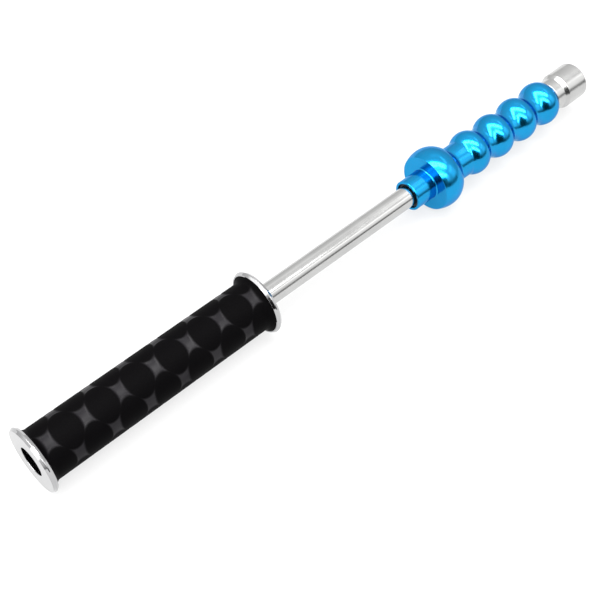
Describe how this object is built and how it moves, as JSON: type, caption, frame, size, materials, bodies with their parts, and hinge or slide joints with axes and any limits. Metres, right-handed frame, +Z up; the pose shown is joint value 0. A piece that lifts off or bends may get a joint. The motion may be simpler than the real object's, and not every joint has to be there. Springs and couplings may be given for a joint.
{
  "type": "slide hammer",
  "caption": "Slide hammer for pulling: a blue beaded steel weight slides and turns on a polished rod between a black rubber-sleeved flanged handle and a stepped threaded tip.",
  "frame": {"origin": "centre of the tip's end face, at the mouth of its threaded socket, on the tool's axis", "axes": "+X along the tool's axis and out of the tip's socket, the handle towards -X; +Z up with the tool lying level on its flange rims"},
  "size_m": [0.4534, 0.0418, 0.0416],
  "materials": {
    "polished_rod": "ground and polished",
    "tip_steel": "fine turned, bright",
    "blue_weight": "clear metallic blue, glossy",
    "guide_plastic": "moulded nylon",
    "flange_chrome": "polished",
    "tube_steel": "drawn tube",
    "sleeve_rubber": "shrunk sleeve with a raised cross pattern",
    "zinc_steel": "zinc plated"
  },
  "bodies": {
    "tool_body": {"shaft_rod": "polished_rod", "tip_socket": "tip_steel", "front_flange": "flange_chrome", "rear_flange": "flange_chrome", "handle_tube": "tube_steel", "grip_sleeve": "sleeve_rubber", "flat_washer": "zinc_steel", "lock_washer": "zinc_steel", "shaft_nut": "zinc_steel"},
    "guide_bushes": {"nose_bush": "guide_plastic", "tail_bush": "guide_plastic"},
    "weight": {"slider_weight": "blue_weight"}
  },
  "joints": [
    {"name": "slider_travel", "type": "slide", "parent": "tool_body", "child": "guide_bushes", "axis": [-1, 0, 0], "range_m": [0, 0.1259]},
    {"name": "slider_spin", "type": "hinge", "parent": "guide_bushes", "child": "weight", "pos_m": [-0.1, 0, 0], "axis": [1, 0, 0], "continuous": true}
  ]
}
